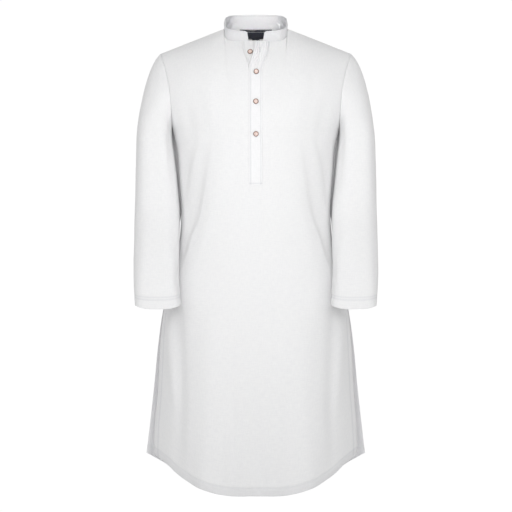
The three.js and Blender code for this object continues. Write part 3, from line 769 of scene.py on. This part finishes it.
def slitEdge(i, j):  # the back's edges hang free below the slits, with light behind them
    if i >= len(backHeights):
        return 0.0
    return ease((hemForm["slitZ"] - backHeights[i]) / 60) * ease((60 - fromSide(backColumns[j])) / 36)


backColumns = panelColumns(46)[::-1]
backHeights = hemLevels(150)
backPoints = panelGrid(backForm, backFolds, backColumns, backHeights, upperShares)
back = clothPiece(
    "backPanel", "back", "white_cotton", backPoints, edgeCotton, panelForm["thick"],
    layers=panelLayers(backColumns, backHeights),
    paintedShade=panelPaintedShade(backColumns, backHeights),
    thin=slitEdge,
)
print("back panel laid")


def hemStitches(name, points, columns, heights):
    hemRow = heights.index(hemForm["z"] + hemForm["band"])
    slitRows = sum(z < hemForm["slitZ"] for z in heights)
    edge = min(range(len(columns)), key=lambda j: abs(2 - columns[j] - hemForm["slitBand"] / sideWidth))
    edges = sorted((edge, len(columns) - 1 - edge))
    return sewn(name, points, [("row", hemRow, 1, -1)] + [("column", j, hemRow, slitRows) for j in edges])


frontStitches = hemStitches("frontHemStitches", frontPoints, frontColumns, frontHeights)
backStitches = hemStitches("backHemStitches", backPoints, backColumns, backHeights)

# Sleeves
sleeveForm = {
    "z": [-260, -310, -358, -430, -502, -580, -656],
    "x": [242.5, 240, 238.2, 235.8, 235.7, 235.5, 231],
    "half": [43.5, 47.5, 50.8, 54.7, 54.8, 54.4, 55],
    "y": [0, 3, 4, -2, -35, -74, -103],
    "deep": [76, 74, 72, 67, 60, 50, 44],
    "tuck": [14, 16, 15, 12, -6, -2, 0],  # draws the inner back in towards the body
    "tuckTurn": 320,
    "tuckWide": 38,
    "frontPower": 3.2,
    "backPower": 2.2,
    "cuffDip": 8,
    "capLow": 90,  # how the sleeve leaves the armhole: degrees below level, underarm and shoulder
    "capHigh": 39,
    "capPower": 0.6,
    "leave": 0.667,  # the pull of each end of its curve
    "arrive": 0.7,
    "lean": 0.04,
    "crumple": ((0.9, 46, 80), (0.25, 16, 24)),
    "sink": 0.7,
    "gap": 0.1,
    "thick": 1.4,
    "band": 25,
    "stitches": (25, 20),  # rows of stitches above the cuff's edge
    "around": 34,  # steps of the grid from the underarm to the shoulder
    "head": 34,
}
# Here places and widths are degrees round the sleeve: 0 faces the body, 90 the front, 180 outwards
sleeveFolds = [fold(*line, sides=(1,)) for line in (
    ((30, -500, 9, 0), (27, -545, 9, -2.2), (31, -590, 8, -3.2), (46, -630, 8, 0)),
    ((12, -530, 8, 0), (15, -580, 8, -2.6), (22, -630, 9, -3.4), (27, -668, 9, -1)),
    ((60, -380, 16, 0), (54, -450, 16, -1.6), (44, -520, 14, -1.8), (36, -570, 12, 0)),
    ((124, -400, 20, 0), (132, -480, 22, -1.6), (142, -560, 20, -1.6), (150, -630, 16, 0)),
    ((44, -190, 10, 0), (40, -250, 13, -3), (46, -330, 14, -2.6), (52, -400, 14, 0)),
    ((214, -150, 16, 0), (220, -280, 20, -2.5), (228, -420, 20, -3), (236, -540, 18, 0)),
    ((252, -380, 16, 0), (262, -460, 18, -3.5), (276, -530, 18, -3.5), (290, -600, 14, 0)),
    ((292, -520, 14, 0), (300, -560, 15, -3), (312, -600, 13, 0)),
    ((196, -420, 14, 0), (190, -520, 16, 1), (184, -640, 14, 0)),
)]


def sleeveGrid(side):
    form = sleeveForm
    top = form["around"]
    lifts = [math.pi / 2 * share ** 1.3 for share in steps(0, 1, top)]
    edges = []
    for panel in (frontForm, backForm):
        edges.append([upperPoint(panel, side * upperHalf(lift), lift) for lift in lifts])
    loop = edges[0] + edges[1][-2:0:-1]
    loop[0].y = loop[top].y = 0
    run = running(loop + loop[:1])
    loop.append(loop[0].copy())
    turns = [math.pi * here / run[top] for here in run[:top]]
    turns += [math.pi + math.pi * (here - run[top]) / (run[-1] - run[top]) for here in run[top:]]

    def section(z, turn):
        keys = ("x", "half", "y", "deep", "tuck")
        x, half, y, deep, tuck = (readCurve(form["z"], form[key], z) for key in keys)
        power = 2 / form["frontPower" if math.sin(turn) > 0 else "backPower"]
        across, forward = (math.copysign(abs(way) ** power, way) for way in (math.cos(turn), math.sin(turn)))
        beside = min(abs(math.degrees(turn) - form["tuckTurn"]) / form["tuckWide"], 1)
        tuck *= math.cos(beside * math.pi / 2) ** 2
        low = ease((form["z"][5] - z) / (form["z"][5] - form["z"][6]))
        dip = form["cuffDip"] * low * max(math.sin(turn), 0) ** 2
        return Vector((side * (x - half * across - tuck), y - deep * forward, z - dip))

    rows = []
    chestZ, shoulderZ = bodyForm["chestZ"], bodyForm["shoulderZ"]
    for t in steps(0, 1, form["head"]):
        row = []
        for point, turn in zip(loop, turns):
            start = point + Vector((side * form["gap"], 0, 0))
            end = section(form["z"][0], turn)
            length = (end - start).length
            rise = clamp((point.z - chestZ) / (shoulderZ - chestZ))
            slope = math.radians(mix(form["capLow"], form["capHigh"], rise ** form["capPower"]))
            leave = Vector((side * math.cos(slope), 0, -math.sin(slope))) * length * form["leave"]
            arrive = Vector((side * form["lean"], 0, -1)) * length * form["arrive"]
            row.append(hermite(start, end, leave, arrive, t))
        rows.append(row)
    cuffZ = form["z"][-1]
    band = [32, 28, 25, 22.5, 20, 16, 11, 6, 2.4, 0.9, 0]
    heights = steps(form["z"][0], cuffZ + 36, 80)[1:] + [cuffZ + d for d in band]
    rows += [[section(z, turn) for turn in turns] for z in heights]
    rows.reverse()
    if side < 0:
        rows = [list(reversed(row)) for row in rows]
        turns = list(reversed(turns))
    fromCuff = [z - cuffZ for z in reversed(heights)] + [math.inf] * (form["head"] + 1)
    last = len(rows) - 1

    def relief(i, j, point):
        turn = math.degrees(turns[j])
        height = sum(foldHeight(sleeveFolds, around, point.z) for around in (turn, turn - 360, turn + 360))
        height += crumple(point, *form["crumple"]) - form["sink"]
        height *= ease((last - i) / 16)
        if fromCuff[i] < 100:
            height *= mix(0.6, 1, ease(fromCuff[i] / 60))
            height -= 0.6 * max(1 - fromCuff[i] / form["band"], 0) ** 2
            for line in form["stitches"]:
                height -= 0.6 * ridge(fromCuff[i], line, 1.3)
        return height

    return raised(rows, relief, ring=True), fromCuff


# painted shade: darker lines along the cuff's stitching and at the armhole seam
def sleevePaintedShade(fromCuff):
    def paintedShade(i, j):
        shade = sum(0.22 * ridge(fromCuff[i], line, 1.2) for line in sleeveForm["stitches"])
        return shade + (0.12 if i > len(fromCuff) - 2 else 0.0)
    return paintedShade


sleeves, sleeveStitches = {}, {}
for label, side in (("Left", 1), ("Right", -1)):
    points, fromCuff = sleeveGrid(side)
    sleeves[label] = clothPiece(
        "sleeve" + label, "sleeve_" + label.lower(), "white_cotton",
        points, whiteCotton, sleeveForm["thick"], ring=True,
        layers=lambda i, j: 1.0 if fromCuff[i] <= sleeveForm["band"] + 1 else 0.5,
        paintedShade=sleevePaintedShade(fromCuff),
    )
    lines = [("row", fromCuff.index(line), 0, None) for line in sleeveForm["stitches"]]
    sleeveStitches[label] = sewn("cuffStitches" + label, points, lines, ring=True)
print("sleeves laid")

# Collar
collarForm = {
    "topHalf": 75,
    "topFront": 57,
    "topBack": 50,
    "frontPower": 3,
    "backPower": 5,
    "topZ": 21,
    "tilt": 0.458,
    "endLean": 4,
    "endReach": 2.2,
    "bow": 0.5,
    "blend": 0.7,
    "foot": -1.6,  # it starts a little below the neck seam
    "inset": 0.2,
    "thick": 2.0,
    "round": 7,
    "ups": [0, 0.03, 0.08, 0.14, 0.22, 0.32, 0.42, 0.52, 0.62, 0.72, 0.8, 0.87, 0.91, 0.96, 0.985, 1],
    "stitches": (0.08, 0.91),
}


def bandCrease(point, up):  # the band creases where it turns at the sides of the neck
    turn = ridge(abs(point.x), 64, 15) * ease((point.y + 20) / 30)
    slant = point.z * 0.9 + abs(point.x) * 0.5 - point.y * 0.6 + crumple(point, (7, 12, 12))
    return turn * math.sin(slant / 2.3) * math.sin(math.pi * clamp(up)) ** 0.7


def collarGrid():
    form = collarForm
    neckHalf = bodyForm["neckHalf"]
    half = [0, 0.06, 0.2, 0.4, 0.6, 0.8] + steps(1, neckColumn - 0.003, 20)

    def frontEdge(layer):
        edge = []
        for column in half:
            at = layer * column
            lift = topLift(frontForm, at, layer)
            edge.append(upperPoint(frontForm, placeX(at, layer, lift), lift))
        return edge

    angles = steps(math.radians(4), math.radians(176), 48)
    backEdge = [neckPoint(backForm, neckHalf * math.cos(angle)) for angle in angles]
    base = frontEdge(1) + backEdge + frontEdge(-1)[::-1]
    run = running(base)
    end = base[0].x
    rows = []
    for up in form["ups"]:
        row = []
        for k, point in enumerate(base):
            panel, reach, power = frontForm, form["topFront"], form["frontPower"]
            if point.y >= 0:
                panel, reach, power = backForm, form["topBack"], form["backPower"]
            lean = form["endLean"] * ease(1 - (abs(point.x) / end - 1) / (form["endReach"] - 1))
            x = point.x * form["topHalf"] / neckHalf
            plan = reach * oval(x / form["topHalf"], power)
            y = math.copysign(mix(abs(point.y) * (reach / panel["neckDepth"]), plan, form["blend"]), point.y)
            top = Vector((x + math.copysign(lean, x), y, form["topZ"] + form["tilt"] * y))
            fromEnd = min(run[k], run[-1] - run[k])
            rounded = up * (1 - 0.16 * max(1 - fromEnd / form["round"], 0) ** 2.2)
            bow = 1 + form["bow"] * math.sin(math.pi * up) / neckHalf
            foot = Vector((point.x * (1 - form["inset"] / neckHalf), point.y, point.z + form["foot"]))
            place = foot.lerp(top, rounded)
            row.append(Vector((place.x * bow, place.y * bow, place.z)))
        rows.append(row)

    def relief(i, j, point):
        up = form["ups"][i]
        height = 1.8 * bandCrease(point, up) + crumple(point, (0.6, 18, 14))
        for line in reversed(form["stitches"]):
            height -= 0.3 * ridge(up, line, 0.03)
        return height * ease(up / 0.06)

    return raised(rows, relief)


# painted shade: darker at the collar's foot seam, in its creases and turned ends, and along its stitching
def collarPaintedShade(i, j):
    up = collarForm["ups"][i]
    point = collarPoints[i][j]
    shade = 0.6 * ridge(up, 0, 0.02) + 0.5 * max(bandCrease(point, up), 0)
    shade += 0.42 * ridge(abs(point.x), 66, 11) * ease((point.y + 10) / 30)
    for line in collarForm["stitches"]:
        shade += 0.22 * ridge(up, line, 0.025)
    return shade


collarPoints = collarGrid()
collar = clothPiece(
    "standCollar", "collar", "white_cotton_double", collarPoints, collarCotton, collarForm["thick"],
    paintedShade=collarPaintedShade,
)
lowRow, topRow = (collarForm["ups"].index(up) for up in collarForm["stitches"])
lines = [("row", row, 2, -2) for row in (lowRow, topRow)]
lines += [("column", j, lowRow, topRow + 1) for j in (2, len(collarPoints[0]) - 3)]
collarStitches = sewn("collarStitches", collarPoints, lines)
print("collar laid")


# Placket: an underlap on the wearer's right edge, an overlap on the left one
stripForm = {"thick": 1.2, "stitch": 4, "groove": 0.3, "grooveWide": 1.2, "pucker": 1.2, "leanBack": 0.6}


def pleat(a, z):  # the overlap is pulled up into small pleats where it stands open
    pulled = ease((z + 122) / 60) * (1 - 0.7 * ease((z + 36) / 14))
    fan = a * (1.15 + 0.004 * (z + 80))
    return pulled * math.sin(fan + 1.1) * (0.6 + 0.4 * math.sin(a * 0.37 + z * 0.05))


def stripGrid(half, layer, offset, lowZ, topShare):
    form = stripForm
    edge = [0, 0.8, 2.2, form["stitch"]]
    across = [d - half for d in edge + [5]]
    across += steps(-half + 6, half - 6, 20) + [-a for a in reversed(across)]
    chestZ = bodyForm["chestZ"]
    heights = [lowZ + d for d in edge] + steps(lowZ + 6, chestZ, 36)
    limit = placketForm["half"]
    columns = [clamp(a / limit, -1, 1) for a in across]
    rows = [[lowerPoint(frontForm, c, z) for c in columns] for z in heights]
    for share in upperShares:
        row = []
        for a, c in zip(across, columns):
            lift = topLift(frontForm, c, layer) * share * mix(1, topShare, ease((share - 0.9) / 0.1))
            point = upperPoint(frontForm, placeX(c, layer, lift), lift)
            if layer > 0:
                opened = spreadX(0, layer, lift) / placketForm["spreadMiddle"]
                point.y -= placketForm["freeLift"] * opened * (1 - a / limit) * 0.5
            row.append(point)
        rows.append(row)
    for row in rows:
        for a, point in zip(across, row):
            steep = 1 / math.cos(max(point.z - chestZ, 0) / -chestZ * form["leanBack"])
            point += Vector((math.copysign(max(abs(a) - limit, 0), a), -offset * steep, 0))

    def sewnIn(i, j):  # the stitches down its edges and across its end
        lines = ridge(half - abs(across[j]), form["stitch"], form["grooveWide"])
        if i < len(heights):
            lines += ridge(heights[i] - lowZ, form["stitch"], form["grooveWide"])
        return lines

    def relief(i, j, point):
        height = crumple(point, (0.35, 22, 30)) - form["groove"] * sewnIn(i, j)
        return height + form["pucker"] * pleat(across[j], point.z) if layer > 0 else height

    # painted shade along the stitching, and in the troughs of the pleats
    def paintedShade(i, j):
        shade = 0.3 * sewnIn(i, j)
        return shade + 0.32 * max(-pleat(across[j], rows[i][j].z), 0) if layer > 0 else shade

    return raised(rows, relief), paintedShade


def stripStitches(name, points, ends=()):
    lines = [("column", j, 3, -1) for j in (3, len(points[0]) - 4)]
    return sewn(name, points, lines + list(ends))


overlapPoints, overlapPaintedShade = stripGrid(
    placketForm["overlapHalf"], 1, placketForm["offset"], placketForm["z"] - 4, 0.992)
underlapPoints, underlapPaintedShade = stripGrid(
    placketForm["underlapHalf"], -1, 0, placketForm["z"] + bodyForm["seam"], 1)
overlap = clothPiece(
    "placketOverlap", "placket_overlap", "white_cotton_double", overlapPoints, doubleCotton,
    stripForm["thick"], paintedShade=overlapPaintedShade,
)
underlap = clothPiece(
    "placketUnderlap", "placket_underlap", "white_cotton_double", underlapPoints, whiteCotton,
    stripForm["thick"], paintedShade=underlapPaintedShade,
)
overlapStitches = stripStitches("placketStitches", overlapPoints, [("row", 3, 3, -3)])
underlapStitches = stripStitches("underlapStitches", underlapPoints)
print("placket laid")


def nearest(points, x, z):  # the cloth's point and normal at a place seen face on
    i, j = min(
        ((points[i][j].x - x) ** 2 + (points[i][j].z - z) ** 2, i, j)
        for i in range(1, len(points) - 1) for j in range(len(points[0]))
    )[1:]
    up = points[i + 1][j] - points[i - 1][j]
    point = points[i][j] + Vector((0, up.y, up.z)) / up.z * (z - points[i][j].z)
    point.x = x
    return point, gridNormals(points[i - 1:i + 2])[1][j]


# Buttons
buttonForm = {
    "radius": 6.5,
    "thick": 2.6,
    "rim": 1.5,
    "dish": 0.7,
    "hole": 0.75,
    "holeRing": 1.7,
    "lift": 0.35,
    "strand": 0.32,  # spacing of the thread's strands
}
buttonPlaces = [
    (-13.2, -57, underlapPoints),
    (1.2, -105, overlapPoints),
    (0.2, -176, overlapPoints),
    (0.4, -253, overlapPoints),
]


def turnButton(name):
    form = buttonForm
    radius, thick, rim, dish = form["radius"], form["thick"], form["rim"], form["dish"]
    profile = [
        (0, 0), (radius * 0.7, 0), (radius * 0.94, thick * 0.28), (radius, thick * 0.52),
        (radius * 0.985, thick * 0.8), (radius - rim * 0.4, thick), (radius - rim * 0.9, thick * 0.985),
        (radius - rim * 1.3, thick - dish * 0.6), (radius - rim * 1.8, thick - dish), (0, thick - dish),
    ]
    bm = bmesh.new()
    verts = [bm.verts.new((x * mm, 0, z * mm)) for x, z in profile]
    edges = [bm.edges.new(pair) for pair in zip(verts, verts[1:])]
    bmesh.ops.spin(bm, geom=verts + edges, cent=(0, 0, 0), axis=(0, 0, 1), angle=math.tau,
                   steps=48, use_merge=True, use_duplicate=False)
    bmesh.ops.remove_doubles(bm, verts=bm.verts[:], dist=0.00002)
    bmesh.ops.recalc_face_normals(bm, faces=bm.faces[:])
    disc = meshPiece(name, bm, buttonShell)
    bm = bmesh.new()
    for k in range(4):
        angle = math.pi / 4 + k * math.pi / 2
        place = Vector((math.cos(angle), math.sin(angle), 0)) * form["holeRing"] * mm
        wide = form["hole"] * mm
        bmesh.ops.create_cone(bm, cap_ends=True, segments=16, radius1=wide, radius2=wide,
                              depth=thick * 3 * mm, matrix=Matrix.Translation(place))
    drill = meshPiece("drill", bm, buttonShell)
    cut = disc.modifiers.new("holes", "BOOLEAN")
    cut.operation, cut.solver, cut.object = "DIFFERENCE", "EXACT", drill
    drilled = bpy.data.meshes.new_from_object(disc.evaluated_get(bpy.context.evaluated_depsgraph_get()))
    bpy.data.objects.remove(drill)
    disc.modifiers.clear()
    disc.data = drilled
    drilled.set_sharp_from_angle(angle=math.radians(40))
    rimShare = drilled.attributes.new("rim", "FLOAT", "POINT")
    for k, v in enumerate(drilled.vertices):
        out = v.co.xy.length / mm
        rimShare.data[k].value = ease((out - (radius - rim * 1.55)) / 0.7)
    return disc


def sewButton(k, x, z, points):
    form = buttonForm
    name = f"button{k}"
    turn = 0.5 * k - 0.15
    point, normal = nearest(points, x, z)
    disc = turnButton(name)
    place = seat(point + normal * form["lift"], normal, Vector((math.cos(turn), 0, math.sin(turn))))
    disc.data.transform(place)
    bm = bmesh.new()
    low = (form["thick"] - form["dish"] + 0.1) * mm
    for hole in (-1, 1):  # thread in two parallel bars, three strands each
        for strand in (-1, 0, 1):
            y = (hole * form["holeRing"] * math.sin(math.pi / 4) + strand * form["strand"]) * mm
            bar = Matrix.Translation((0, y, low)) @ Matrix.Diagonal((1.75 * mm, 0.22 * mm, 0.42 * mm, 1))
            bmesh.ops.create_icosphere(bm, subdivisions=2, radius=1, matrix=place @ bar)
    belongs(disc, f"button_{k}", "button_shell")
    belongs(meshPiece(name + "Thread", bm, buttonThread))


for k, spot in enumerate(buttonPlaces, 1):
    sewButton(k, *spot)

# Buttonholes: upright slits edged with close stitches
holeForm = {"long": 14, "half": 0.4, "stitch": 1.3, "pitch": 0.62, "endStitch": 2.08}
bm = bmesh.new()
slitShadows = bmesh.new()
for x, z in ((9.6, -52), (1.2, -106.5), (0.2, -177.5), (0.4, -254.5)):
    count = int(holeForm["long"] / holeForm["pitch"])
    for k in range(count + 1):
        point, normal = nearest(overlapPoints, x, z - holeForm["long"] / 2 + k * holeForm["pitch"])
        wide = holeForm["stitch" if 0 < k < count else "endStitch"]
        size = Matrix.Diagonal((wide / 2 * mm, 0.33 * mm, 0.3 * mm, 1))
        for edge in (-1, 1):
            at = point + Vector((edge * (holeForm["half"] + wide / 2 - 0.35), 0, 0))
            place = seat(at, normal, Vector((1, 0, 0)))
            bmesh.ops.create_icosphere(bm, subdivisions=1, radius=1, matrix=place @ size)
    point, normal = nearest(overlapPoints, x, z)
    # a thin grey sheet in each slit: painted shadow
    size = Matrix.Diagonal((holeForm["half"] * 2 * mm, (holeForm["long"] - 1) * mm, 0.1 * mm, 1))
    place = seat(point + normal * 0.02, normal, Vector((1, 0, 0)))
    bmesh.ops.create_cube(slitShadows, size=1, matrix=place @ size)
belongs(meshPiece("buttonholeStitches", bm, whiteThread))
belongs(meshPiece("buttonholeSlitShadows", slitShadows, slitShade))
print("buttons sewn on")

# Neck tape, label and size tab on the inside of the back: half width, and how far below the neck's
# top each one's upper and lower edge lie
trimForm = [
    ("neckTape", "neck_tape", "dark_tape", 39, -0.4, 4.4),
    ("neckLabel", "neck_label", "dark_label", 23, 5.5, 21),
    ("sizeTab", "size_tab", "dark_label", 9, 21.4, 31),
]


neckTop = neckPoint(backForm, 0).z
for name, node, slot, half, top, low in trimForm:
    rows = []
    for z in steps(neckTop - low, neckTop - top, 10):
        row = []
        for x in steps(half, -half, 24):
            lift = crossing(lambda lift: z - upperPoint(backForm, x, lift).z)
            row.append(Vector((x, upperPoint(backForm, x, lift).y - 2.0, z)))
        rows.append(row)
    points = raised(rows, lambda i, j, point: crumple(point, (0.25, 9, 9)))
    clothPiece(name, node, slot, points, darkTape, 0.8)
print("neck trim sewn in")

# Stage: camera, floor and light
cameraForm = {"x": 0.0005, "distance": 6.0, "height": -0.54, "lens": 175.8}
camera = addObject("camera", bpy.data.cameras.new("camera"))
camera.data.lens = cameraForm["lens"]
camera.data.clip_end = 60
camera.location = (cameraForm["x"], -cameraForm["distance"], cameraForm["height"])
camera.rotation_euler = (math.pi / 2, 0, 0)
bpy.context.scene.camera = camera

floorMaterial, tree, skin = newMaterial("paintedStudioFloor")  # matt white paint, a little uneven
patches = bump(tree, cloudy(tree, 667, Detail=2.0), 0.1, 2)
setInputs(skin, {"Base Color": "#F4F4F4", "Normal": patches, "Roughness": 0.9})
bm = bmesh.new()
bmesh.ops.create_circle(bm, cap_ends=True, segments=96, radius=2.8, matrix=Matrix.Translation((0, 0, -1.45)))
floor = meshPiece("floor", bm, floorMaterial)
floor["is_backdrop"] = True


def areaLight(name, place, aim, size, power, spread=180):
    lamp = bpy.data.lights.new(name, "AREA")
    lamp.shape, lamp.size, lamp.energy = "SQUARE", size, power
    lamp.spread = math.radians(spread)
    light = addObject(name, lamp)
    light.visible_camera = False
    light.location = place
    light.rotation_euler = (Vector(aim) - Vector(place)).to_track_quat("-Z", "Y").to_euler()


areaLight("softFront", (0, -2, -0.08), (0, 0, -0.22), 1.2, 7.8, 106)
for name, x in (("softLeft", -2.3), ("softRight", 2.3)):
    areaLight(name, (x, -2.1, -0.4), (0, 0, -0.45), 1, 6)
areaLight("neckFill", (0, -1.2, 0.5), (0, 0.05, 0.035), 0.12, 0.032, 9)

# The room: white all round, bright behind the garment and dimmer in front of it
world = bpy.data.worlds.new("studio")
world.use_nodes = True
tree = world.node_tree
look = addNode(tree, "TexCoord").node.outputs["Generated"]
depth = addNode(tree, "SeparateXYZ", {"Vector": look}).node.outputs["Y"]
wall = {"Value": depth, "From Min": 0.0, "From Max": 0.7, "To Min": 0.46, "To Max": 1.02}
strength = addNode(tree, "MapRange", wall, interpolation_type="SMOOTHSTEP")
setInputs(tree.nodes["Background"], {"Color": "#FFFFFF", "Strength": strength})
bpy.context.scene.world = world
bpy.context.scene.view_settings.view_transform = "Standard"
print("stage set")

boxes = {"cad": cadBox, "shown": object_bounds()}
{name: [list(corner) for corner in box] for name, box in boxes.items()}
